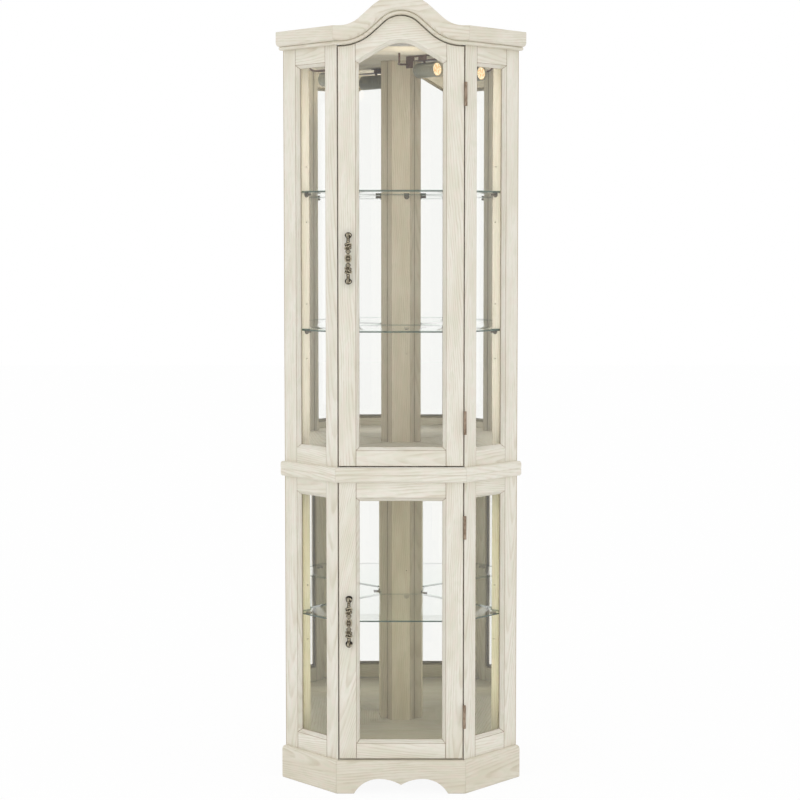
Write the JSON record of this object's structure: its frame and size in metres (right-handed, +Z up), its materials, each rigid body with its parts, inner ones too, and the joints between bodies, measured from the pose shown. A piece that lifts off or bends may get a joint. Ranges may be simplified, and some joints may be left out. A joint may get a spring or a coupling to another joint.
{
  "type": "corner curio cabinet",
  "caption": "Tall five-sided corner display cabinet with an arched crown, glazed upper and lower doors, glazed sides, mirrored backs, glass shelves and a lamp.",
  "frame": {"origin": "on the floor, below the middle of the cabinet's box", "axes": "+Z up, the doors face -Y, +X to the right as seen from the front"},
  "size_m": [0.5724, 0.3976, 1.8],
  "materials": {
    "oak": "washed cream oak, satin",
    "pane": "clear pane",
    "shelf_glass": "clear with green edges",
    "mirror": "silvered",
    "backing": "fibreboard, matte",
    "pull_metal": "antique bronze",
    "hinge_metal": "brown bronze",
    "lamp_can": "grey satin",
    "lamp_bracket": "brown satin",
    "bulb": "lit warm white",
    "catch": "matte"
  },
  "bodies": {
    "cabinet": {"floor_board": "oak", "middle_board": "oak", "top_board": "oak", "plinth_front": "oak", "plinth_left": "oak", "plinth_right": "oak", "waist_rail_front": "oak", "waist_rail_left": "oak", "waist_rail_right": "oak", "crown_front": "oak", "crown_left": "oak", "crown_right": "oak", "side_left_outer_stile": "oak", "side_left_front_stile": "oak", "side_left_top_rail": "oak", "side_left_bottom_rail": "oak", "side_left_upper_glass": "pane", "side_left_lower_glass": "pane", "side_right_outer_stile": "oak", "side_right_front_stile": "oak", "side_right_top_rail": "oak", "side_right_bottom_rail": "oak", "side_right_upper_glass": "pane", "side_right_lower_glass": "pane", "rear_corner_post": "oak", "rear_stile_left": "oak", "rear_stile_right": "oak", "mirror_left": "mirror", "mirror_right": "mirror", "back_panel_left": "backing", "back_panel_right": "backing", "upper_door_catch": "catch", "lower_door_catch": "catch", "upper_door_top_hinge_frame_leaf": "hinge_metal", "upper_door_bottom_hinge_frame_leaf": "hinge_metal", "lower_door_top_hinge_frame_leaf": "hinge_metal", "lower_door_bottom_hinge_frame_leaf": "hinge_metal", "bottom_glass_shelf": "shelf_glass", "middle_glass_shelf": "shelf_glass", "top_glass_shelf": "shelf_glass", "lamp_bracket": "lamp_bracket", "lamp_holder": "lamp_can", "lamp_bulb": "bulb"},
    "upper_door": {"upper_door_latch_stile": "oak", "upper_door_hinge_stile": "oak", "upper_door_arched_rail": "oak", "upper_door_bottom_rail": "oak", "upper_door_glass": "pane", "upper_door_handle": "pull_metal", "upper_door_top_hinge_door_leaf": "hinge_metal", "upper_door_bottom_hinge_door_leaf": "hinge_metal"},
    "lower_door": {"lower_door_latch_stile": "oak", "lower_door_hinge_stile": "oak", "lower_door_top_rail": "oak", "lower_door_bottom_rail": "oak", "lower_door_glass": "pane", "lower_door_handle": "pull_metal", "lower_door_top_hinge_door_leaf": "hinge_metal", "lower_door_bottom_hinge_door_leaf": "hinge_metal"},
    "lamp_switch": {"lamp_switch_knob": "lamp_bracket"}
  },
  "joints": [
    {"name": "upper_door_swing", "type": "hinge", "parent": "cabinet", "child": "upper_door", "pos_m": [0.1446, -0.17698, 1.216], "axis": [0, 0, 1], "range_deg": [0, 120]},
    {"name": "lower_door_swing", "type": "hinge", "parent": "cabinet", "child": "lower_door", "pos_m": [0.1446, -0.17698, 0.3925], "axis": [0, 0, 1], "range_deg": [0, 120]},
    {"name": "lamp_switch_turn", "type": "hinge", "parent": "cabinet", "child": "lamp_switch", "pos_m": [0.03972, 0.07289, 1.6575], "axis": [0.7071, -0.7071, 0], "continuous": true}
  ]
}
